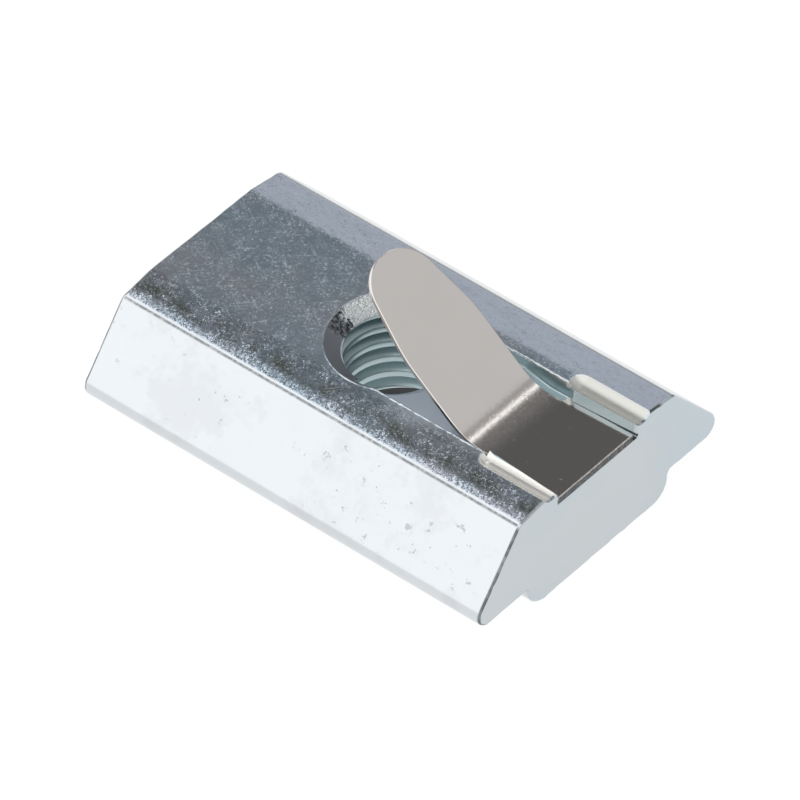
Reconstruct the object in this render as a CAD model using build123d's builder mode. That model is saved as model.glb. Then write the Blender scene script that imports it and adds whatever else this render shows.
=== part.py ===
from build123d import *
import os
from math import cos, radians, sin, sqrt, tan

# Roll-in T-slot nut with a leaf spring, standing on its collar, spring side up.
# X runs along the nut, Y across it. The origin is where the thread axis leaves
# the collar face. Millimetres and degrees.

# Nut body: cold-drawn profile, cut to length
nut_length = 20.0
nut_width = 14.0  # over the rounded rims
nut_height = 5.1  # collar face to the flat of the back
flat_width = 5.7  # level strip along the middle of the back
facet_angle = 8.0  # shallow facets beside that strip
flank_angle = 50.0  # sloping flanks, from the horizontal
rim_radius = 0.6  # where a flank meets its clamping face
shoulder_radius = 0.6  # where a flank meets a facet
facet_radius = 2.0
collar_width = 8.2  # runs in the mouth of the slot
collar_height = 1.15  # up to the clamping faces, which bear behind the slot's lips
collar_radius = 0.9
collar_root_radius = 0.2
end_break = 0.12  # edges left by the cut, broken

# M5 thread: the bore is the minor diameter, countersunk at both mouths
thread_bore = 4.2
back_countersink = 5.6
entry_countersink = 5.4
countersink_angle = 105.0

# Groove: a shallow channel from the bore, then a ramp down to a seat that runs out through one end
seat_width = 4.72
seat_depth = 0.8
seat_length = 4.3
ramp_length = 1.3
channel_depth = 0.54
channel_margin = 0.18  # how much farther than the seat the channel reaches, on the -Y side
groove_break = 0.03

# Staking: two ball-ended punch marks that push lips over the root
mark_length = 3.5  # from the end face
mark_radius = 0.55
mark_depth = 0.3
mark_wall = 0.3  # seat's wall to the middle of a mark
lip_length = 3.35
lip_run_in = 0.35  # length over which a lip swells
lip_seat = 0.02  # between a lip and the root
far_overlap = 0.08  # how far the +Y lip reaches over the root
near_overlap = 0.175
# Foot and top of a lip, measured inwards from the seat's wall, where it starts and at the end
far_lip_start = (0.045, 0.015)
far_lip_end = (0.105, 0.0)
near_lip_start = (0.085, 0.035)
near_lip_end = (0.03, -0.09)
lip_top = 0.05  # of both, after their run-in

# Leaf spring: one stainless strip with a soft bend
spring_thickness = 0.2
root_play = 0.17  # beside the root, all of it on the +Y side
root_setback = 0.1  # root inside the end face
leaf_inset = 0.255  # leaf inside the root's edge, on each side
bend_from_end = 4.71  # bend line to the end face
bend_radius = 2.0  # hollow side
leaf_rise = 40.3
leaf_reach = 7.52  # bend line to the tip
leaf_parallel = 3.9  # of that, with parallel sides
leaf_taper = 10.8  # then each side closes by this angle
leaf_blend_radius = 6.0
tip_roundness = 0.99  # 1 is a full round
neck_radius = 0.1  # where the root narrows to the leaf

end_x = nut_length / 2
flank_slope = tan(radians(flank_angle))
facet_slope = tan(radians(facet_angle))
seat_floor = nut_height - seat_depth
seat_wall = seat_width / 2
channel_floor = nut_height - channel_depth
channel_wall = seat_wall + channel_margin
lip_x = end_x - lip_length
lip_base = seat_floor + spring_thickness + lip_seat
mark_x = end_x - mark_length + sqrt(mark_radius**2 - (mark_radius - mark_depth) ** 2)
mark_z = nut_height + mark_radius - mark_depth

# Sharp corners of the profile, right half, from the collar face up
flat_edge = flat_width / 2
rim_corner = nut_width / 2 + rim_radius * (1 / tan(radians(flank_angle / 2)) - 1)
shoulder_y = (
    rim_corner * flank_slope + collar_height - nut_height - flat_edge * facet_slope
) / (flank_slope - facet_slope)
shoulder_z = nut_height - (shoulder_y - flat_edge) * facet_slope
right_side = [
    (collar_width / 2, 0),
    (collar_width / 2, collar_height),
    (rim_corner, collar_height),
    (shoulder_y, shoulder_z),
    (flat_edge, nut_height),
]
left_side = [(-y, z) for y, z in reversed(right_side)]


def both_corners(sketch, across, up):
    """The corner of a symmetric sketch at this place, and its mirror image."""
    near = 0.001
    return sketch.vertices().filter_by(
        lambda corner: abs(abs(corner.X) - across) < near and abs(corner.Y - up) < near
    )


with BuildPart() as nut_body:
    with BuildSketch(Plane.YZ) as profile:
        with BuildLine():
            Polyline(*right_side, *left_side, close=True)
        make_face()
        radii = (collar_radius, collar_root_radius, rim_radius, shoulder_radius, facet_radius)
        for corner, radius in zip(right_side, radii):
            fillet(both_corners(profile, *corner), radius)
    extrude(amount=end_x, both=True)
    ends = nut_body.faces().filter_by(Plane.YZ)
    chamfer(ends.edges(), end_break)

    # Groove: the channel with the break of its upper edges, then the ramp and the seat
    with BuildSketch(Plane.YZ):
        with BuildLine():
            Polyline(
                (-channel_wall - groove_break, nut_height),
                (-channel_wall, nut_height - groove_break),
                (-channel_wall, channel_floor),
                (seat_wall, channel_floor),
                (seat_wall, nut_height - groove_break),
                (seat_wall + groove_break, nut_height),
                close=True,
            )
        make_face()
    extrude(amount=end_x, mode=Mode.SUBTRACT)
    with BuildSketch(Plane.XZ):
        with BuildLine():
            Polyline(
                (end_x - seat_length - ramp_length, channel_floor),
                (end_x - seat_length, seat_floor),
                (end_x, seat_floor),
                (end_x, channel_floor),
                close=True,
            )
        make_face()
    extrude(amount=seat_wall, both=True, mode=Mode.SUBTRACT)

    # Lips: leaning wedges on the walls, standing just clear of the root
    far_sections = (far_lip_start, (root_play + far_overlap, lip_top), far_lip_end)
    near_sections = (near_lip_start, (near_overlap, lip_top), near_lip_end)
    stations = (lip_x, lip_x + lip_run_in, end_x)
    for side, back, sections in ((1, seat_wall, far_sections), (-1, channel_wall, near_sections)):
        for station, (foot, top) in zip(stations, sections):
            with BuildSketch(Plane.YZ.offset(station)):
                with BuildLine():
                    Polyline(
                        (side * (seat_wall - foot), lip_base),
                        (side * (seat_wall - top), nut_height),
                        (side * (back + groove_break), nut_height),
                        (side * (back + groove_break), lip_base),
                        close=True,
                    )
                make_face()
        loft(ruled=True)

    # Punch marks
    mark_y = seat_wall + mark_wall
    with BuildSketch(Plane.YZ.offset(mark_x)):
        with Locations((mark_y, mark_z), (-mark_y, mark_z)):
            Circle(mark_radius)
    extrude(amount=mark_length, mode=Mode.SUBTRACT)
    with Locations((mark_x, mark_y, mark_z), (mark_x, -mark_y, mark_z)):
        Sphere(mark_radius, mode=Mode.SUBTRACT)

    # Tapped hole
    with Locations((0, 0, nut_height)):
        CounterSinkHole(
            radius=thread_bore / 2,
            counter_sink_radius=back_countersink / 2,
            counter_sink_angle=countersink_angle,
        )
    entry = nut_body.edges().filter_by(GeomType.CIRCLE).sort_by(Axis.Z)[0]
    chamfer(entry, (entry_countersink - thread_bore) / 2)
nut_body.part.label = "nut_body"

# Leaf spring
root_width = seat_width - root_play
leaf_width = root_width - 2 * leaf_inset
spring_y = -root_play / 2
root_end = end_x - root_setback
strip_top = seat_floor + spring_thickness
bend_x = end_x - bend_from_end
bend_tangent = bend_radius * tan(radians(leaf_rise / 2))
root_start = bend_x + bend_tangent
leaf_run = (-cos(radians(leaf_rise)), 0, sin(radians(leaf_rise)))
leaf_normal = (sin(radians(leaf_rise)), 0, cos(radians(leaf_rise)))
tip_width = leaf_width - 2 * (leaf_reach - leaf_parallel) * tan(radians(leaf_taper))
tip_radius = tip_roundness * tip_width / 2 / tan(radians(45 - leaf_taper / 2))

with BuildPart() as leaf_spring:
    # Root, widest under the lips
    with BuildSketch(Plane((0, spring_y, seat_floor))) as root:
        with BuildLine():
            Polyline(
                (root_start, leaf_width / 2),
                (lip_x, leaf_width / 2),
                (lip_x, root_width / 2),
                (root_end, root_width / 2),
                (root_end, -root_width / 2),
                (lip_x, -root_width / 2),
                (lip_x, -leaf_width / 2),
                (root_start, -leaf_width / 2),
                close=True,
            )
        make_face()
        fillet(root.vertices().filter_by_position(Axis.X, lip_x, lip_x), neck_radius)
    extrude(amount=spring_thickness)

    # Bend: the neck's end swept about the bend axis
    with BuildSketch(Plane((root_start, spring_y, strip_top), x_dir=(0, 1, 0), z_dir=(1, 0, 0))):
        Rectangle(leaf_width, spring_thickness, align=(Align.CENTER, Align.MAX))
    bend_axis = Axis((root_start, 0, strip_top + bend_radius), (0, 1, 0))
    revolve(axis=bend_axis, revolution_arc=leaf_rise)

    # Leaf: a tongue on the sloping plane, its hollow side up
    with BuildSketch(Plane((bend_x, spring_y, strip_top), x_dir=leaf_run, z_dir=leaf_normal)) as tongue:
        with BuildLine():
            Polyline(
                (bend_tangent, leaf_width / 2),
                (leaf_parallel, leaf_width / 2),
                (leaf_reach, tip_width / 2),
                (leaf_reach, -tip_width / 2),
                (leaf_parallel, -leaf_width / 2),
                (bend_tangent, -leaf_width / 2),
                close=True,
            )
        make_face()
        fillet(tongue.vertices().group_by(Axis.X)[2], tip_radius)
        fillet(tongue.vertices().group_by(Axis.X)[1], leaf_blend_radius)
    extrude(amount=-spring_thickness)
leaf_spring.part.label = "leaf_spring"

os.makedirs("parts", exist_ok=True)
for piece in (nut_body.part, leaf_spring.part):
    export_step(piece, f"parts/{piece.label}.step")
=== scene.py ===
from math import cos, pi, radians, sin, sqrt, tan

import bmesh
import bpy
from mathutils import Matrix, Vector, noise


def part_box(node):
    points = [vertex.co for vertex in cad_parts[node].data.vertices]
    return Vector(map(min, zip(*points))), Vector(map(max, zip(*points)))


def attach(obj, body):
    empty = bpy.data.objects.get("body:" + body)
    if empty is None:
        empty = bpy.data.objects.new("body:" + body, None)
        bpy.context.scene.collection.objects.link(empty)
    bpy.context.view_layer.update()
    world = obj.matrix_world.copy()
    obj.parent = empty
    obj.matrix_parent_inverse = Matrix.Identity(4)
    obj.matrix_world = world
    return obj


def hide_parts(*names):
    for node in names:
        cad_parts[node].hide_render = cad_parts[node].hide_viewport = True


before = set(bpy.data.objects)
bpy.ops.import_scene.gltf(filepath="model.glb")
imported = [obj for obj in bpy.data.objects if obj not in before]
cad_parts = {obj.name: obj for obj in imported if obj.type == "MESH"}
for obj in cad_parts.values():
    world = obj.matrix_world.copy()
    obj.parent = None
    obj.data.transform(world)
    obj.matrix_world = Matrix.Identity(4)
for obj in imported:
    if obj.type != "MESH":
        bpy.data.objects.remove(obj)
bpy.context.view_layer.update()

# A roll-in T-slot nut: zinc-plated body with a real thread, and its stainless leaf spring.
# Meshes are worked out in millimetres, in the frame's axes, and scaled to metres when made.
MM = 0.001
body_low, body_high = (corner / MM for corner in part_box("nut_body"))
leaf_low, leaf_high = (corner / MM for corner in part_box("leaf_spring"))

# Nut body
end_x = body_high.x
nut_width = body_high.y - body_low.y
top_z = body_high.z
flat_width = 5.7
facet_angle = 8.0
flank_angle = 50.0
rim_radius = 0.6
shoulder_radius = 0.6
facet_radius = 2.0
collar_width = 8.2
collar_height = 1.15
collar_radius = 0.9
collar_root_radius = 0.2
end_break = 0.12
end_spacing = 0.25  # between points along the uneven end edges

# Thread and countersinks
minor_radius = 2.1
major_radius = 2.5
pitch = 0.8
crest_flat = 0.296
root_flat = 0.1
crest_height = 3.75  # of one crest, on the side that crest_side names
crest_side = 150.0  # degrees from +X
back_countersink = 2.8
back_slope = 37.5  # of the cone, from the horizontal
entry_countersink = 2.7

# Groove, lips and punch marks
seat_floor = leaf_low.z
channel_floor = top_z - 0.54
ramp_start = end_x - 5.6
ramp_end = end_x - 4.3
seat_wall = 2.36
channel_wall = 2.54  # on the -Y side; on the other side the channel is no wider than the seat
corner_radius = 0.08
groove_break = 0.04
burr_size = 0.035
burr_sink = 0.01
mark_length = 3.5
mark_radius = 0.55
mark_depth = 0.3
mark_y = seat_wall + 0.3
lip_width = 0.06  # past the groove's broken edge, so that a lip joins the body
lip_x = end_x - 3.35
lip_run_in = 0.35
# Foot and top of each lip, inwards from the seat's wall: where it starts, full, and at the end
far_lip = ((0.045, 0.015), (0.25, 0.05), (0.105, 0.0))
near_lip = ((0.085, 0.035), (0.175, 0.05), (0.03, -0.09))

# Leaf spring
strip = 0.2
lip_base = seat_floor + strip + 0.02
root_end = leaf_high.x
root_half = (leaf_high.y - leaf_low.y) / 2
strip_y = (leaf_high.y + leaf_low.y) / 2
leaf_half = 2.02
bend_x = end_x - 4.71
bend_middle = bend_x + 0.21  # of the roughened stretch
leaf_rise = radians(40.3)
leaf_reach = 7.52
leaf_parallel = 3.9
leaf_taper = radians(10.8)
leaf_blend_radius = 6.0
tip_roundness = 0.99  # 1 is a full round
bend_length = 2.1
bend_softness = 0.55  # 0 is an arc, 1 eases in and out fully
neck_radius = 0.1
root_corner_radius = 0.05
strip_edge = 0.04


# ---------------------------------------------------------------- mesh helpers


def new_mesh(name, points, faces):
    """A mesh from points in millimetres."""
    mesh = bpy.data.meshes.new(name)
    mesh.from_pydata(points, [], faces)
    mesh.update()
    return mesh


def outward(mesh):
    """Turns every face of a closed mesh outward."""
    work = bmesh.new()
    work.from_mesh(mesh)
    bmesh.ops.recalc_face_normals(work, faces=work.faces)
    work.to_mesh(mesh)
    work.free()
    return mesh


def modified(mesh, kind, **settings):
    """A new mesh, as one modifier leaves this one."""
    holder = bpy.data.objects.new("holder", mesh)
    bpy.context.scene.collection.objects.link(holder)
    step = holder.modifiers.new("step", kind)
    for name, value in settings.items():
        setattr(step, name, value)
    graph = bpy.context.evaluated_depsgraph_get()
    result = bpy.data.meshes.new_from_object(
        holder.evaluated_get(graph), preserve_all_data_layers=True, depsgraph=graph
    )
    bpy.data.objects.remove(holder)
    return result


def combine(mesh, other, operation):
    """The boolean of two closed meshes, as a new mesh."""
    tool = bpy.data.objects.new("tool", other)
    bpy.context.scene.collection.objects.link(tool)
    result = modified(mesh, "BOOLEAN", operation=operation, solver="EXACT", object=tool)
    bpy.data.objects.remove(tool)
    return result


def loft(name, sections):
    """A closed mesh through sections of equally many points, each end closed by one face."""
    count = len(sections[0])
    points = [point for section in sections for point in section]
    faces = []
    for i in range(len(sections) - 1):
        for j in range(count):
            k = (j + 1) % count
            faces.append((i * count + j, i * count + k, (i + 1) * count + k, (i + 1) * count + j))
    faces.append(tuple(range(count)))
    faces.append(tuple(range(len(points) - count, len(points))))
    return outward(new_mesh(name, points, faces))


def turned(name, outline, segments=96):
    """A solid of revolution about Z, from (radius, height) pairs that start and end on the axis."""
    points = [(0, 0, outline[0][1])]
    for radius, height in outline[1:-1]:
        for j in range(segments):
            turn = 2 * pi * j / segments
            points.append((radius * cos(turn), radius * sin(turn), height))
    points.append((0, 0, outline[-1][1]))
    last = len(points) - 1
    faces = []
    for j in range(segments):
        k = (j + 1) % segments
        faces.append((0, 1 + j, 1 + k))
        for i in range(len(outline) - 3):
            low, high = 1 + i * segments, 1 + (i + 1) * segments
            faces.append((low + j, low + k, high + k, high + j))
        faces.append((last, last - segments + k, last - segments + j))
    return outward(new_mesh(name, points, faces))


def rounded(corners, radii, step=radians(4)):
    """(point, outward normal) pairs round an anticlockwise outline with its corners turned to arcs."""
    outline = []
    for i, (corner, radius) in enumerate(zip(corners, radii)):
        before = (corners[i - 1] - corner).normalized()
        after = (corners[(i + 1) % len(corners)] - corner).normalized()
        half = before.angle(after) / 2
        convex = before.x * after.y - before.y * after.x < 0
        centre = corner + (before + after).normalized() * radius / sin(half)
        start = corner + before * radius / tan(half) - centre
        turn = (pi - 2 * half) * (1 if convex else -1)
        count = max(2, round(abs(turn) / step))
        for j in range(count + 1):
            spoke = Matrix.Rotation(turn * j / count, 2) @ start
            outline.append((centre + spoke, spoke / radius * (1 if convex else -1)))
    return outline


def finish_piece(name, mesh, node, material, sharp=35.0):
    """Cleans a mesh, scales it to metres and hands it over as the piece that stands for a CAD node."""
    work = bmesh.new()
    work.from_mesh(mesh)
    bmesh.ops.remove_doubles(work, verts=work.verts, dist=1e-4)
    bmesh.ops.dissolve_degenerate(work, edges=work.edges, dist=1e-4)
    bmesh.ops.recalc_face_normals(work, faces=work.faces)
    work.to_mesh(mesh)
    work.free()
    mesh.shade_smooth()
    mesh.set_sharp_from_angle(angle=radians(sharp))
    mesh = modified(mesh, "WEIGHTED_NORMAL", mode="FACE_AREA", keep_sharp=True, thresh=0.0)
    mesh.transform(Matrix.Scale(MM, 4))
    mesh.materials.clear()
    mesh.materials.append(material)
    piece = bpy.data.objects.new(name, mesh)
    bpy.context.scene.collection.objects.link(piece)
    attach(piece, "root")
    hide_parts(node)
    return piece


# ---------------------------------------------------------------- nut body


def body_outline():
    """The drawn profile, across and up, anticlockwise from the right of the collar."""
    flank_slope, facet_slope = tan(radians(flank_angle)), tan(radians(facet_angle))
    rim_corner = nut_width / 2 + rim_radius * (1 / tan(radians(flank_angle / 2)) - 1)
    flat_edge = flat_width / 2
    shoulder = (
        rim_corner * flank_slope + collar_height - top_z - flat_edge * facet_slope
    ) / (flank_slope - facet_slope)
    right = [
        Vector((collar_width / 2, 0)),
        Vector((collar_width / 2, collar_height)),
        Vector((rim_corner, collar_height)),
        Vector((shoulder, top_z - (shoulder - flat_edge) * facet_slope)),
        Vector((flat_edge, top_z)),
    ]
    radii = [collar_radius, collar_root_radius, rim_radius, shoulder_radius, facet_radius]
    left = [Vector((-corner.x, corner.y)) for corner in reversed(right)]
    outline = rounded(right + left, radii + radii[::-1])
    # Straight runs get points too, so that the end edges can be uneven along them
    closer = []
    for (point, normal), (after, _) in zip(outline, outline[1:] + outline[:1]):
        count = max(1, round((after - point).length / end_spacing))
        closer += [(point + (after - point) * j / count, normal) for j in range(count)]
    return closer


def body_blank():
    """The cut length of profile, its end edges broken unevenly."""
    outline = body_outline()
    turns = [radians(15 * i) for i in range(7)]

    def section(x, end, sink):
        points = []
        for point, normal in outline:
            rough = 1 + 0.5 * noise.noise(Vector((point.x * 1.7, point.y * 1.7, end * 9.0)))
            rough += 0.5 * noise.noise(Vector((point.x * 5.1, point.y * 5.1, end * 4.0)))
            inner = point - normal * end_break * sink * rough
            points.append((x, inner.x, inner.y))
        return points

    sections = [section(-end_x + end_break * (1 - cos(t)), -1, 1 - sin(t)) for t in turns]
    sections += [section(end_x - end_break * (1 - cos(t)), 1, 1 - sin(t)) for t in reversed(turns)]
    return loft("blank", sections)


def groove_tool():
    """What the groove removes: channel, ramp and seat, with upper edges that waver as milled edges do."""
    past_end = 0.5  # how far the tool stands out of the body
    above = 0.4
    narrowing = 0.3  # length over which the channel's wall turns into the seat's
    sections = []
    count = 200
    for i in range(count + 1):
        x = (end_x + past_end) * i / count
        floor = between(x, ramp_start, ramp_end, channel_floor, seat_floor)
        top_edge = between(x, lip_x, end_x, channel_wall, seat_wall - near_lip[-1][1])
        low_edge = between(x, lip_x, lip_x + narrowing, channel_wall, seat_wall)
        near, far = (groove_break + waver(x, side) for side in (-1, 1))
        section = [
            (x, -top_edge - near - above, top_z + above),
            (x, -top_edge, top_z - near),
            (x, -low_edge, floor),
        ]
        for j in range(5):
            turn = pi / 2 * j / 4
            across = seat_wall - corner_radius * (1 - sin(turn))
            section.append((x, across, floor + corner_radius * (1 - cos(turn))))
        section += [(x, seat_wall, top_z - far), (x, seat_wall + far + above, top_z + above)]
        sections.append(section)
    return loft("groove_tool", sections)


def between(x, start, end, before, after):
    """A value that stays, then changes evenly from start to end, then stays."""
    return before + (after - before) * min(1, max(0, (x - start) / (end - start)))


def waver(x, side):
    """How far the groove's upper edge strays from straight."""
    slow = noise.noise(Vector((x * 2.1, side * 5.0, 0.0)))
    quick = noise.noise(Vector((x * 7.0, side * 5.0, 3.0)))
    return 0.02 * slow + 0.018 * quick


def lip(side):
    """The lip on one wall, a leaning wedge that swells and fades along the wall."""
    back, shape = (seat_wall, far_lip) if side > 0 else (channel_wall, near_lip)
    back += groove_break + lip_width
    sections = []
    count = 60
    for i in range(count + 1):
        x = lip_x + (end_x - lip_x) * i / count
        swell = min(1, (x - lip_x) / lip_run_in)
        swell = swell * swell * (3 - 2 * swell)
        fade = max(0, (x - lip_x - lip_run_in) / (end_x - lip_x - lip_run_in))
        foot, top = (
            first + (full - first) * swell + (last - full) * fade
            for first, full, last in zip(*shape)
        )
        foot += 0.012 * noise.noise(Vector((x * 2.3, side * 7.0, 1.0)))
        sections.append(
            [
                (x, side * (seat_wall - foot), lip_base),
                (x, side * (seat_wall - top), top_z),
                (x, side * back, top_z),
                (x, side * back, lip_base),
            ]
        )
    return loft("lip", sections)


def bead(path):
    """The thin ragged burr that a cutter leaves, round a path of (point, sideways) pairs."""
    sections = []
    for point, sideways in path:
        size = burr_size * (1 + 0.7 * noise.noise(point * 5.0) + 0.3 * noise.noise(point * 17.0))
        ring = []
        for j in range(8):
            turn = 2 * pi * j / 8
            ring.append(point + sideways * size * cos(turn) + Vector((0, 0, size * sin(turn))))
        sections.append(ring)
    return loft("bead", sections)


def groove_burr(side):
    """The burr on one upper edge of the groove, from the countersink to the lip."""
    wall = seat_wall if side > 0 else channel_wall
    start = sqrt(back_countersink**2 - wall**2) - 0.05
    end = lip_x + 0.1
    count = 150
    path = []
    for i in range(count + 1):
        x = start + (end - start) * i / count
        across = side * (wall + groove_break + waver(x, side))
        path.append((Vector((x, across, top_z - burr_sink)), Vector((0, 1, 0))))
    return bead(path)


def ring_burr(radius, height, first, last):
    """A burr round part of the hole, between two directions in degrees from +X."""
    count = 120
    path = []
    for i in range(count + 1):
        turn = radians(first + (last - first) * i / count)
        sideways = Vector((cos(turn), sin(turn), 0))
        path.append((sideways * radius + Vector((0, 0, height)), sideways))
    return bead(path)


def mark_tool(side):
    """The ball-ended punch that made one mark."""
    rim = sqrt(mark_radius**2 - (mark_radius - mark_depth) ** 2)
    start = end_x - mark_length + rim
    ball = [(mark_radius * cos(t), mark_radius * sin(t)) for t in (radians(6 * i) for i in range(1, 16))]
    outline = [(0, 0)] + [(radius, mark_radius - height) for height, radius in ball]
    outline += [(mark_radius, mark_length + 1), (0, mark_length + 1)]
    tool = turned("mark_tool", outline, 72)
    tool.transform(Matrix.Rotation(pi / 2, 4, "Y"))
    tool.transform(
        Matrix.Translation((start - mark_radius, side * mark_y, top_z + mark_radius - mark_depth))
    )
    return tool


def thread_tool():
    """What the tap removes: a tube whose rows of points follow the helix."""
    flank = (pitch - crest_flat - root_flat) / 2
    ease = 0.025
    profile = [
        (0.0, minor_radius),
        (crest_flat / 2 - ease, minor_radius),
        (crest_flat / 2 + ease, minor_radius + ease * 1.2),
        (crest_flat / 2 + flank - ease, major_radius - ease * 1.2),
        (crest_flat / 2 + flank + ease, major_radius),
        (pitch / 2, major_radius),
    ]
    profile += [(pitch - rise, radius) for rise, radius in reversed(profile[1:-1])]
    segments, turns = 96, 9
    crest = crest_height - pitch * crest_side / 360 - pitch * 6
    rows = [(crest + pitch * k + rise, radius) for k in range(turns) for rise, radius in profile]
    step = len(profile)
    points = []
    for rise, radius in rows:
        for j in range(segments):
            turn = 2 * pi * j / segments
            points.append((radius * cos(turn), radius * sin(turn), rise + pitch * j / segments))
    faces = []
    for i in range(len(rows) - 1):
        for j in range(segments - 1):
            low, high = i * segments + j, (i + 1) * segments + j
            faces.append((low, low + 1, high + 1, high))
    for i in range(len(rows) - 1 - step):
        low, high = i * segments + segments - 1, (i + 1) * segments + segments - 1
        faces.append((low, (i + step) * segments, (i + step + 1) * segments, high))
    # The open ends: one turn of the helix, then back along the seam, closed to a point on the axis
    first = list(range(segments)) + [i * segments for i in range(step, 0, -1)]
    top = len(rows) - 1
    last = [top * segments + j for j in range(segments - 1, -1, -1)]
    last += [i * segments + segments - 1 for i in range(top - step, top)]
    for loop, height in ((first, rows[0][0] - 0.4), (last, rows[-1][0] + pitch + 0.4)):
        points.append((0, 0, height))
        apex = len(points) - 1
        for a, b in zip(loop, loop[1:] + loop[:1]):
            faces.append((a, b, apex))
    return outward(new_mesh("thread_tool", points, faces))


def countersinks():
    """The cones at the two mouths of the hole."""
    below = turned("entry", [(0, -1), (entry_countersink + 1, -1), (0, entry_countersink)])
    slope = tan(radians(back_slope))
    above = turned(
        "mouth",
        [(0, top_z - back_countersink * slope), (back_countersink + 1 / slope, top_z + 1), (0, top_z + 1)],
    )
    return below, above


def nut_body(material):
    """The body: groove, burrs, lips and punch marks, then the hole; its thread comes last."""
    mesh = body_blank()
    mesh = combine(mesh, groove_tool(), "DIFFERENCE")
    for side in (-1, 1):
        mesh = combine(mesh, groove_burr(side), "UNION")
        mesh = combine(mesh, lip(side), "UNION")
        mesh = combine(mesh, mark_tool(side), "DIFFERENCE")
    for cone in countersinks():
        mesh = combine(mesh, cone, "DIFFERENCE")
    mesh = combine(mesh, ring_burr(back_countersink + 0.01, top_z - 0.015, 62, 293), "UNION")
    mesh = combine(mesh, ring_burr(minor_radius + 0.01, channel_floor, 200, 345), "UNION")
    mesh = combine(mesh, thread_tool(), "DIFFERENCE")
    return finish_piece("threaded_body", mesh, "nut_body", material)


# ---------------------------------------------------------------- leaf spring


def strip_outline():
    """The flat blank, along from the root's end and across, anticlockwise."""
    tip_half = leaf_half - (leaf_reach - leaf_parallel) * tan(leaf_taper)
    neck = root_end - lip_x
    shift = strip / 2 * tan(leaf_rise / 2) - path_saving()
    vertex = root_end - middle_bend_x()
    reach = vertex + leaf_reach + shift
    parallel = vertex + leaf_parallel + shift
    tip_radius = tip_roundness * tip_half / tan(pi / 4 - leaf_taper / 2)
    right = [
        Vector((0, -root_half)),
        Vector((neck, -root_half)),
        Vector((neck, -leaf_half)),
        Vector((parallel, -leaf_half)),
        Vector((reach, -tip_half)),
    ]
    radii = [root_corner_radius, neck_radius, neck_radius, leaf_blend_radius, tip_radius]
    left = [Vector((corner.x, -corner.y)) for corner in reversed(right)]
    return rounded(right + left, radii + radii[::-1], step=radians(3))


def middle_bend_x():
    """Where the two straights of the strip's middle plane would meet."""
    return bend_x - strip / 2 * tan(leaf_rise / 2)


def path_saving():
    """How much shorter the strip is along its bend than round the sharp corner."""
    return 2 * bend_tangent() - bend_length


def bend_chord():
    """Where the bend ends, across and up from its start."""
    steps = 400
    along = up = 0.0
    for i in range(steps):
        turn = bend_turn((i + 0.5) / steps)
        along += cos(turn) * bend_length / steps
        up += sin(turn) * bend_length / steps
    return along, up


def bend_turn(share):
    """The slope at this share of the bend: a soft bend has no sudden start."""
    share = min(1, max(0, share))
    return leaf_rise * (share - sin(2 * pi * share) / (2 * pi) * bend_softness)


def bend_tangent():
    """From the start of the bend to the corner that its two straights would make."""
    along, up = bend_chord()
    return sqrt(along * along + up * up) / 2 / cos(leaf_rise / 2)


def strip_path(limit):
    """Points and slopes along the middle of the strip, from the root's end."""
    start = root_end - middle_bend_x() - bend_tangent()
    step = 0.005
    x, z, along = root_end, seat_floor + strip / 2, 0.0
    path = [(x, z, 0.0)]
    while along < limit:
        slope = bend_turn((along + step / 2 - start) / bend_length)
        x -= cos(slope) * step
        z += sin(slope) * step
        along += step
        path.append((x, z, bend_turn((along - start) / bend_length)))
    return path, step


def flat_strip():
    """The blank as a closed mesh with rounded edges, cut across where it has to bend."""
    outline = strip_outline()
    rings = []
    for i in range(5):
        turn = pi / 2 * i / 4
        rings.append((strip_edge * (1 - sin(turn)), -strip / 2 + strip_edge * (1 - cos(turn))))
    rings += [(sink, -height) for sink, height in reversed(rings)]
    points = []
    for sink, height in rings:
        for point, normal in outline:
            inner = point - normal * sink
            points.append((inner.x, inner.y, height))
    count = len(outline)
    faces = [tuple(range(count)), tuple(range(len(points) - count, len(points)))]
    for i in range(len(rings) - 1):
        for j in range(count):
            k = (j + 1) % count
            faces.append((i * count + j, i * count + k, (i + 1) * count + k, (i + 1) * count + j))
    mesh = new_mesh("leaf", points, faces)
    work = bmesh.new()
    work.from_mesh(mesh)
    bmesh.ops.recalc_face_normals(work, faces=work.faces)
    start = root_end - middle_bend_x() - bend_tangent()
    close_cuts = [start - 0.3 + 0.04 * i for i in range(70)]
    wide_cuts = [start + 2.6 + 0.3 * i for i in range(20)]
    for cut in close_cuts + wide_cuts:
        bmesh.ops.bisect_plane(
            work,
            geom=work.verts[:] + work.edges[:] + work.faces[:],
            plane_co=(cut, 0, 0),
            plane_no=(1, 0, 0),
            dist=1e-6,
        )
    work.to_mesh(mesh)
    work.free()
    return mesh


def leaf_spring(material):
    """The blank laid along the bent path."""
    mesh = flat_strip()
    path, step = strip_path(max(vertex.co.x for vertex in mesh.vertices) + 0.1)
    for vertex in mesh.vertices:
        along = max(0.0, vertex.co.x) / step
        index = min(int(along), len(path) - 2)
        share = along - index
        x, z, slope = (a + (b - a) * share for a, b in zip(path[index], path[index + 1]))
        height = vertex.co.z
        vertex.co = (x + sin(slope) * height, strip_y - vertex.co.y, z + cos(slope) * height)
    return finish_piece("sprung_leaf", mesh, "leaf_spring", material, sharp=50.0)


# ---------------------------------------------------------------- shader wiring


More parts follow.
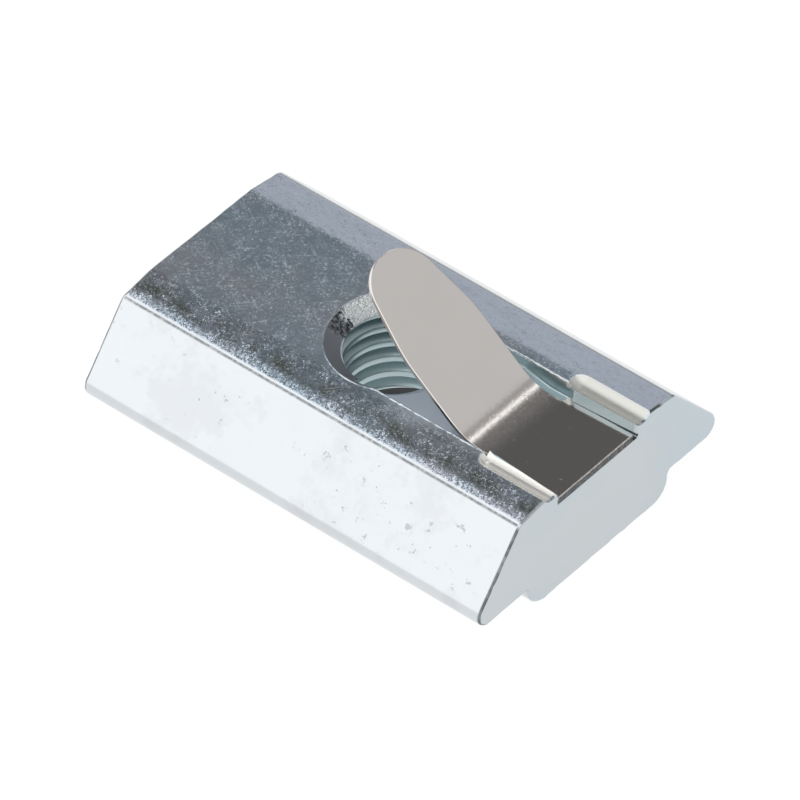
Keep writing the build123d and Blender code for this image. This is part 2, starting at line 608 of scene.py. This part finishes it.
class Shader:
    """Short calls for wiring a node tree."""

    def __init__(self, tree):
        self.tree = tree
        self.tree.nodes.clear()

    def add(self, kind, **settings):
        node = self.tree.nodes.new(kind)
        for name, value in settings.items():
            setattr(node, name, value)
        return node

    def put(self, socket, value):
        """Links a socket, or sets it to a plain value. None leaves it alone."""
        if isinstance(value, bpy.types.NodeSocket):
            self.tree.links.new(value, socket)
        elif value is not None:
            socket.default_value = value

    def math(self, operation, a, b=None, c=None, clamp=False):
        node = self.add("ShaderNodeMath", operation=operation, use_clamp=clamp)
        for socket, value in zip(node.inputs, (a, b, c)):
            self.put(socket, value)
        return node.outputs[0]

    def vector(self, operation, a, b=None):
        node = self.add("ShaderNodeVectorMath", operation=operation)
        self.put(node.inputs[0], a)
        self.put(node.inputs["Scale" if operation == "SCALE" else 1], b)
        return node.outputs["Vector"]

    def apart(self, vector):
        node = self.add("ShaderNodeSeparateXYZ")
        self.put(node.inputs[0], vector)
        return list(node.outputs)

    def both(self, share, *others):
        """The product of shares: where all of them hold."""
        for other in others:
            share = self.math("MULTIPLY", share, other)
        return share

    def raised(self, number, share, by):
        """A number, with this much added where the share is 1."""
        return self.math("MULTIPLY_ADD", share, by, number)

    def rise(self, value, low, high, to_low=0.0, to_high=1.0):
        """A smooth change from one number to another, between two levels of a value."""
        node = self.add("ShaderNodeMapRange", interpolation_type="SMOOTHSTEP")
        sockets = ("Value", "From Min", "From Max", "To Min", "To Max")
        for name, number in zip(sockets, (value, low, high, to_low, to_high)):
            self.put(node.inputs[name], number)
        return node.outputs["Result"]

    def fall(self, value, low, high):
        return self.rise(value, low, high, 1.0, 0.0)

    def band(self, value, start, end):
        """1 between two soft limits, each given by where it begins and ends."""
        return self.both(self.rise(value, *start), self.fall(value, *end))

    def mix(self, share, a, b):
        """A colour between two, which are (red, green, blue) or sockets."""
        node = self.add("ShaderNodeMix", data_type="RGBA")
        self.put(node.inputs["Factor"], share)
        for name, value in (("A", a), ("B", b)):
            socket = next(s for s in node.inputs if s.name == name and s.type == "RGBA")
            self.put(socket, (*value, 1) if isinstance(value, tuple) else value)
        return next(s for s in node.outputs if s.type == "RGBA")

    def blend(self, share, a, b):
        """A number between two."""
        node = self.add("ShaderNodeMix", data_type="FLOAT")
        for index, value in ((0, share), (2, a), (3, b)):
            self.put(node.inputs[index], value)
        return node.outputs[0]

    def noise(self, coordinate, scale, detail, rough):
        """Noise of this many features per unit of the coordinate."""
        node = self.add("ShaderNodeTexNoise")
        self.put(node.inputs["Vector"], coordinate)
        for name, value in (("Scale", scale), ("Detail", detail), ("Roughness", rough)):
            node.inputs[name].default_value = value
        return node.outputs["Fac"]

    def mapped(self, coordinate, scale, slant=0.0):
        """A coordinate turned about Z and stretched."""
        node = self.add("ShaderNodeMapping")
        self.put(node.inputs["Vector"], coordinate)
        node.inputs["Rotation"].default_value = (0, 0, slant)
        node.inputs["Scale"].default_value = scale
        return node.outputs["Vector"]

    def bump(self, height, strength, distance, normal):
        node = self.add("ShaderNodeBump")
        self.put(node.inputs["Height"], height)
        self.put(node.inputs["Strength"], strength)
        node.inputs["Distance"].default_value = distance
        self.put(node.inputs["Normal"], normal)
        return node.outputs["Normal"]

    def grain(self, place, size, strength, normal):
        """The normal, tilted at random from one crystal to the next, a few of them much more."""
        cells = self.add("ShaderNodeTexVoronoi")
        self.put(cells.inputs["Vector"], place)
        cells.inputs["Scale"].default_value = 1 / size
        tilt = self.vector("SUBTRACT", cells.outputs["Color"], (0.5, 0.5, 0.5))
        odd = self.math("POWER", self.apart(cells.outputs["Color"])[2], 4.0)
        strength = self.math("MULTIPLY", strength, self.math("MULTIPLY_ADD", odd, 2.0, 0.6))
        return self.vector("NORMALIZE", self.vector("ADD", normal, self.vector("SCALE", tilt, strength)))


# ---------------------------------------------------------------- materials


def metal(name):
    """A new material, its shader helper and its metallic surface node."""
    material = bpy.data.materials.new(name)
    material.use_nodes = True
    shader = Shader(material.node_tree)
    surface = shader.add("ShaderNodeBsdfPrincipled")
    surface.inputs["Metallic"].default_value = 1.0
    output = shader.add("ShaderNodeOutputMaterial")
    shader.put(output.inputs["Surface"], surface.outputs[0])
    return material, shader, surface


class Zones:
    """Where on the body a point of its plating is, mostly as soft shares from 0 to 1."""

    def __init__(self, shader, place):
        rise, fall, band, both = shader.rise, shader.fall, shader.band, shader.both
        # The three parts of the surface's normal, then the place in millimetres
        normal = shader.add("ShaderNodeNewGeometry").outputs["Normal"]
        lengthways, across, upward = shader.apart(normal)
        lengthways = shader.math("ABSOLUTE", lengthways)
        x, y, z = shader.apart(shader.vector("SCALE", place, 1 / MM))
        along = shader.math("ABSOLUTE", x)
        aside = shader.math("ABSOLUTE", y)
        self.y, self.aside, self.across = y, aside, across
        radius = shader.math("SQRT", shader.math("MULTIPLY_ADD", x, x, shader.math("MULTIPLY", y, y)))

        # Ends, height and side
        self.inner = fall(along, end_x - 0.15, end_x - 0.1)
        self.nearer = fall(y, -0.5, 0.5)
        self.upper = rise(z, top_z - 1.1, top_z - 0.9)

        # Faces of the profile
        self.back = both(rise(upward, 0.945, 0.982), rise(z, top_z - 0.35, top_z - 0.3))
        self.near_side = band(across, (-0.45, -0.3), (-0.13, -0.05))
        self.near_facet = both(self.near_side, self.back)
        self.far_side = rise(across, 0.04, 0.12)
        self.flank = band(upward, (0.5, 0.6), (0.66, 0.7))
        self.outer_facet = band(aside, (3.1, 3.7), (3.8, 4.2))

        # A line of painted shade along the near shoulder, and the edges that the saw sheared, which are
        # darkened with painted shade too
        line = band(across, (-0.62, -0.50), (-0.46, -0.36))
        self.seam = both(line, self.inner, self.upper, fall(y, -4.4, -4.3))
        sheared = shader.math("ADD", fall(y, -4.7, -4.5), band(y, (2.5, 2.7), (3.6, 3.9)))
        edge = band(lengthways, (0.1, 0.3), (0.93, 0.98))
        self.sheared = both(sheared, edge, shader.math("SUBTRACT", 1.0, self.inner))

        # Punch marks, groove and bore
        self.mark = both(
            rise(x, end_x - mark_length - 0.05, end_x - mark_length),
            self.inner,
            band(aside, (mark_y - 0.34, mark_y - 0.32), (mark_y + 0.46, mark_y + 0.52)),
            band(z, (top_z - 0.34, top_z - 0.32), (top_z - 0.07, top_z - 0.03)),
        )
        self.bore = both(fall(radius, major_radius + 0.1, major_radius + 0.3), rise(z, 0.2, 0.6))
        groove = both(rise(z, seat_floor - 0.2, seat_floor - 0.1), rise(x, 0.0, 0.5))
        self.recess = both(
            fall(aside, channel_wall + 0.02, channel_wall + 0.06),
            fall(z, top_z - 0.1, top_z - 0.04),
            self.inner,
            shader.math("MAXIMUM", self.bore, groove),
        )
        self.groove_floor = both(self.recess, rise(upward, 0.8, 0.9), rise(z, seat_floor - 0.1, seat_floor))
        self.burr = rise(z, top_z + 0.003, top_z + 0.008)

        # The countersink: chattered on its far side, as far as a torn patch just past -X; that side is also
        # painted bright as a highlight
        self.cone = both(
            band(
                radius,
                (minor_radius - 0.04, minor_radius),
                (back_countersink + 0.02, back_countersink + 0.04),
            ),
            band(upward, (0.65, 0.7), (0.9, 0.95)),
            rise(z, channel_floor - 0.04, channel_floor),
        )
        # Where a highlight is painted along the countersink's inner edge
        self.cone_edge_highlight = fall(radius, minor_radius + 0.03, minor_radius + 0.07)
        x_back, y_back = (shader.math("MULTIPLY", value, -1.0) for value in (x, y))
        turn = shader.math("ARCTAN2", y_back, x_back)
        turn = shader.raised(turn, shader.noise(place, 3000.0, 3.0, 0.7), 0.3)
        self.chatter_and_highlight = fall(turn, 0.15, 0.25)
        self.tear = band(turn, (0.12, 0.2), (0.5, 0.62))


def scratches(shader, place, zone):
    """Hairlines in two directions on the back, but none in the punch marks."""
    lines = 0.0
    for slant in (0.5, -0.75):
        turned_place = shader.mapped(place, (1.0, 1.0, 1.0), slant)
        hair = shader.noise(shader.mapped(turned_place, (600.0, 16000.0, 2000.0)), 1.0, 2.0, 0.5)
        lines = shader.math("ADD", lines, shader.rise(hair, 0.66, 0.70), clamp=True)
    return shader.both(lines, zone.back, shader.rise(zone.mark, 0.0, 1.0, 0.7, 0.0))


def zinc_color(shader, place, zone, fine, lines):
    """The plating's colour, with painted light and shade: broad faces first, then what lies on them, then
    the recesses.
    """
    mix, both, rise, noise_of = shader.mix, shader.both, shader.rise, shader.noise
    drift = noise_of(place, 160.0, 4.0, 0.6)

    # Flanks and other plain faces: clouded, smudged and pitted
    color = mix(noise_of(place, 500.0, 3.0, 0.6), (0.62, 0.66, 0.69), (0.68, 0.70, 0.72))
    smudge = rise(noise_of(place, 260.0, 5.0, 0.7), 0.5, 0.62, 0.0, 0.5)
    color = mix(smudge, color, (0.57, 0.59, 0.61))
    pits = both(rise(noise_of(place, 2100.0, 3.0, 0.7), 0.63, 0.67), rise(drift, 0.45, 0.55))
    color = mix(both(zone.flank, pits), color, (0.45, 0.47, 0.50))

    # The back: bluer, with painted shade in patches on the outer part of the near facet, and a painted
    # reflection on the far facet
    skin = mix(rise(drift, 0.35, 0.65), (0.49, 0.60, 0.70), (0.62, 0.66, 0.74))
    # Painted shade: dark patches standing for the dark that the near facet's outer part reflects
    facet_shade_patches = both(zone.outer_facet, rise(noise_of(place, 900.0, 5.0, 0.75), 0.42, 0.60))
    skin = mix(both(zone.near_side, facet_shade_patches), skin, (0.27, 0.31, 0.30))
    # Painted reflection: the far-facing side of the back gets a fixed, bluer colour
    skin = mix(zone.far_side, skin, (0.58, 0.65, 0.765))
    color = mix(zone.back, color, skin)
    # Painted shade: a dark line along the near shoulder, broken by fine noise
    color = mix(both(zone.seam, rise(fine, 0.3, 0.6, 0.55, 1.0)), color, (0.20, 0.22, 0.23))

    # The sawn ends, and painted shade along their sheared edges
    sawn = mix(rise(drift, 0.35, 0.65), (0.50, 0.575, 0.62), (0.55, 0.585, 0.605))
    color = mix(zone.inner, sawn, color)
    # Painted shade: the sheared edges darkened, broken up by noise
    broken = rise(noise_of(place, 1500.0, 3.0, 0.5), 0.35, 0.60, 0.65, 1.0)
    color = mix(both(zone.sheared, broken), color, (0.11, 0.12, 0.13))

    # Painted shade: the recesses and the bore are darker and teal. The groove floor is bluer and the punch
    # marks are burnished; on both, painted light makes the near side brighter
    color = mix(zone.recess, color, (0.39, 0.475, 0.495))
    color = mix(zone.bore, color, (0.45, 0.55, 0.57))
    # Painted reflection: the groove floor is brighter and bluer on the near side
    color = mix(zone.groove_floor, color, mix(zone.nearer, (0.50, 0.60, 0.62), (0.62, 0.71, 0.82)))
    # Painted light: the near punch mark is brighter than the far one
    color = mix(zone.mark, color, mix(zone.nearer, (0.64, 0.64, 0.61), (0.92, 0.91, 0.87)))
    color = mix(zone.burr, color, (0.62, 0.68, 0.72))

    # The countersink: its chattered far side painted bright as a highlight, the rest painted dark as shade
    cut = mix(zone.chatter_and_highlight, (0.26, 0.28, 0.31), (0.92, 0.95, 0.96))
    # Painted highlight: a bright line along the countersink's inner edge
    cut = mix(zone.cone_edge_highlight, cut, (0.80, 0.86, 0.88))
    cut = mix(both(zone.tear, rise(fine, 0.4, 0.6)), cut, (0.05, 0.06, 0.07))
    color = mix(zone.cone, color, cut)
    return mix(both(lines, 0.7), color, (0.80, 0.85, 0.90))


def zinc_roughness(shader, zone, lines):
    """Least on the flanks, most on the groove's floor and the countersink."""
    rough = shader.math("MULTIPLY_ADD", zone.back, 0.10, 0.20)
    for share, by in (
        (zone.near_facet, -0.08),
        (lines, 0.15),
        (zone.recess, 0.12),
        (zone.groove_floor, 0.13),
        (zone.mark, shader.rise(zone.nearer, 0.0, 1.0, 0.22, 0.12)),
        (zone.cone, 0.2),
    ):
        rough = shader.raised(rough, share, by)
    return rough


def crown(shader, zone):
    """The lean of the near facet, a little crowned: it shades off to the flat and to the shoulder."""
    lean = shader.both(zone.near_facet, shader.rise(zone.aside, flat_width / 2, 3.7, 0.1, 0.0))
    outer = shader.both(shader.rise(zone.aside, 3.8, 4.37), zone.inner)
    lean = shader.both(
        shader.raised(lean, outer, -0.14),
        zone.upper,
        shader.fall(zone.y, -2.8, -2.6),
        shader.rise(zone.across, -0.60, -0.30),
    )
    sideways = shader.add("ShaderNodeCombineXYZ")
    shader.put(sideways.inputs["Y"], lean)
    return sideways.outputs[0]


def zinc_normal(shader, place, zone, fine):
    """Softened edges and the crown of a facet, then crystals, cutter ridges and slow waves."""
    edges = shader.add("ShaderNodeBevel", samples=4)
    edges.inputs["Radius"].default_value = 0.00004
    normal = shader.vector("ADD", edges.outputs["Normal"], crown(shader, zone))

    tilt = shader.math("MULTIPLY_ADD", zone.back, 0.12, 0.01)
    tilt = shader.raised(tilt, zone.near_facet, 0.08)
    coarse = shader.noise(place, 1200.0, 4.0, 0.7)
    tilt = shader.both(
        tilt,
        shader.rise(zone.far_side, 0.0, 1.0, 1.0, 0.45),
        shader.rise(zone.mark, 0.0, 1.0, 1.0, 0.1),
        shader.rise(fine, 0.3, 0.7, 0.4, 1.6),
        shader.rise(coarse, 0.35, 0.65, 0.5, 1.5),
    )
    tilt = shader.raised(tilt, shader.both(zone.cone, zone.tear), 0.8)
    for size in (0.000035, 0.00007):
        normal = shader.grain(place, size, tilt, normal)

    ridges = shader.noise(shader.mapped(place, (9000.0, 9000.0, 25000.0)), 1.0, 2.0, 0.6)
    normal = shader.bump(ridges, shader.both(zone.cone, zone.chatter_and_highlight), 0.00012, normal)
    waves = shader.noise(place, 900.0, 3.0, 0.6)
    return shader.bump(waves, shader.rise(zone.back, 0.0, 1.0, 0.1, 0.5), 0.00006, normal)


def zinc():
    """Zinc plating: crystals that glitter on the back, soft wear on the flanks, teal painted shade in the
    recesses, painted light and shade on facets, edges, marks and the countersink.
    """
    material, shader, surface = metal("zinc_plate")
    place = shader.add("ShaderNodeTexCoord").outputs["Object"]
    zone = Zones(shader, place)
    fine = shader.noise(place, 6000.0, 3.0, 0.6)
    lines = scratches(shader, place, zone)
    shader.put(surface.inputs["Base Color"], zinc_color(shader, place, zone, fine, lines))
    shader.put(surface.inputs["Roughness"], zinc_roughness(shader, zone, lines))
    shader.put(surface.inputs["Normal"], zinc_normal(shader, place, zone, fine))
    return material


def stainless():
    """Bright cold-rolled strip: smooth, faintly warm, roughened where it was bent, with painted shade on
    its long edges and a darker cut end.
    """
    material, shader, surface = metal("stainless_strip")
    place = shader.add("ShaderNodeTexCoord").outputs["Object"]
    normal = shader.add("ShaderNodeNewGeometry").outputs["Normal"]
    lengthways, across, _ = shader.apart(normal)
    x = shader.apart(shader.vector("SCALE", place, 1 / MM))[0]
    off_bend = shader.math("ABSOLUTE", shader.math("SUBTRACT", x, bend_middle))
    bent = shader.fall(off_bend, 0.4, 1.4)
    root = shader.rise(x, 6.0, 6.6)
    specks = shader.both(shader.rise(shader.noise(place, 7000.0, 3.0, 0.6), 0.66, 0.74), root)

    color = shader.mix(shader.noise(place, 400.0, 2.0, 0.5), (0.74, 0.70, 0.675), (0.77, 0.735, 0.71))
    # Painted shade on the strip's long edges, by the way they face: nearly black facing +Y, darker facing
    # -Y
    color = shader.mix(shader.rise(across, 0.35, 0.6), color, (0.10, 0.09, 0.08))
    color = shader.mix(shader.fall(across, -0.97, -0.85), color, (0.30, 0.27, 0.24))
    cut_end = shader.both(
        shader.rise(lengthways, 0.7, 0.9),
        shader.rise(x, root_end - 0.1, root_end - 0.05),
        shader.rise(shader.noise(place, 12000.0, 3.0, 0.6), 0.40, 0.60, 0.5, 1.0),
    )
    color = shader.mix(cut_end, color, (0.20, 0.18, 0.17))
    shader.put(surface.inputs["Base Color"], color)

    rough = shader.math("MULTIPLY_ADD", bent, 0.1, 0.12)
    shader.put(surface.inputs["Roughness"], shader.raised(rough, specks, 0.15))
    tilt = shader.math("MULTIPLY_ADD", bent, 0.035, 0.004)
    tilt = shader.raised(tilt, specks, 0.12)
    shader.put(surface.inputs["Normal"], shader.grain(place, 0.00006, tilt, normal))
    return material


# ---------------------------------------------------------------- studio


def studio_world():
    """A white tent as the metal sees it: pale walls, soft boxes and dark gaps between them."""
    tent_level = 0.655
    # Each panel: its angle about Y from straight up, its reach across, its soft edges, its brightness
    panels = (
        ((-90, 90), (-1.20, 0.00), (20, 0.10), 1.35),
        ((-90, 90), (0.84, 1.10), (20, 0.10), 0.30),
        ((-62, 22), (0.12, 0.62), (6, 0.08), 0.11),
        ((-62, 0), (0.12, 0.42), (6, 0.06), 0.24),
        ((7, 22), (0.20, 0.80), (6, 0.10), 0.35),
        ((-5, 5), (0.30, 0.80), (6, 0.10), 1.7),
    )
    world = bpy.data.worlds.new("studio")
    world.use_nodes = True
    bpy.context.scene.world = world
    shader = Shader(world.node_tree)
    x, y, z = shader.apart(shader.add("ShaderNodeTexCoord").outputs["Generated"])
    angle = shader.math("MULTIPLY", shader.math("ARCTAN2", x, z), 180 / pi)
    level = tent_level
    for span, reach, soft, brightness in panels:
        inside = []
        for value, (low, high), edge in zip((angle, y), (span, reach), soft):
            half = edge / 2
            inside.append(shader.band(value, (low - half, low + half), (high - half, high + half)))
        level = shader.blend(shader.both(*inside), level, brightness)
    seen = shader.add("ShaderNodeLightPath").outputs["Is Camera Ray"]
    background = shader.add("ShaderNodeBackground")
    background.inputs["Color"].default_value = (1, 1, 1, 1)
    shader.put(background.inputs["Strength"], shader.blend(seen, level, 1.0))
    output = shader.add("ShaderNodeOutputWorld")
    shader.put(output.inputs["Surface"], background.outputs[0])


def floor():
    """A white table that shows white to the camera and in the metal, under a faint soft shadow."""
    reach = 0.6
    glow_level = 1.12
    glow_share = 0.8  # of what the camera and the metal see; the rest is matt and takes the shadow
    corners = [(-reach, -reach, 0), (reach, -reach, 0), (reach, reach, 0), (-reach, reach, 0)]
    mesh = bpy.data.meshes.new("floor")
    mesh.from_pydata(corners, [], [(0, 1, 2, 3)])
    material = bpy.data.materials.new("white_table")
    material.use_nodes = True
    shader = Shader(material.node_tree)
    path = shader.add("ShaderNodeLightPath").outputs
    seen = shader.math("ADD", path["Is Camera Ray"], path["Is Glossy Ray"], clamp=True)
    matt = shader.add("ShaderNodeBsdfDiffuse")
    matt.inputs["Color"].default_value = (0.85, 0.85, 0.85, 1)
    glow = shader.add("ShaderNodeEmission")
    glow.inputs["Color"].default_value = (1, 1, 1, 1)

    # Painted shadow: the table doesn't glow where the nut stands, so the gap under its collar stays dark
    place = shader.vector("SCALE", shader.add("ShaderNodeTexCoord").outputs["Object"], 1 / MM)
    x, y, _ = shader.apart(place)
    past_end = shader.rise(shader.math("ABSOLUTE", x), 8.0, 9.0)
    beside = shader.rise(shader.math("ABSOLUTE", y), 3.0, 3.5)
    under = shader.math("SUBTRACT", 1.0, shader.math("MAXIMUM", past_end, beside))
    under = shader.both(path["Is Camera Ray"], under)
    shader.put(glow.inputs["Strength"], shader.math("MULTIPLY_ADD", under, -glow_level, glow_level))

    surface = shader.add("ShaderNodeMixShader")
    shader.put(surface.inputs[0], shader.both(seen, glow_share))
    shader.put(surface.inputs[1], matt.outputs[0])
    shader.put(surface.inputs[2], glow.outputs[0])
    output = shader.add("ShaderNodeOutputMaterial")
    shader.put(output.inputs["Surface"], surface.outputs[0])
    mesh.materials.append(material)
    table = bpy.data.objects.new("floor", mesh)
    bpy.context.scene.collection.objects.link(table)


def camera():
    """A long lens from above the front right corner."""
    azimuth, elevation, roll = radians(42.21), radians(43.91), radians(-2.138)
    distance = 331.0
    middle = Vector((0, 0, 4.872))
    aim_right, aim_down = 0.128, 2.124
    back = Vector((sin(azimuth) * cos(elevation), -cos(azimuth) * cos(elevation), sin(elevation)))
    right = Vector((cos(azimuth), sin(azimuth), 0))
    up = back.cross(right)
    right, up = right * cos(roll) + up * sin(roll), up * cos(roll) - right * sin(roll)
    aim = middle + right * aim_right - up * aim_down
    data = bpy.data.cameras.new("camera")
    data.sensor_width = 36.0
    data.lens = 390.4
    data.clip_start = 0.01
    data.clip_end = 10.0
    piece = bpy.data.objects.new("camera", data)
    bpy.context.scene.collection.objects.link(piece)
    turn = Matrix((right, up, back)).transposed().to_4x4()
    piece.matrix_world = Matrix.Translation((aim + back * distance) * MM) @ turn
    bpy.context.scene.camera = piece


nut_body(zinc())
leaf_spring(stainless())
studio_world()
floor()
camera()
bpy.context.scene.view_settings.view_transform = "Standard"
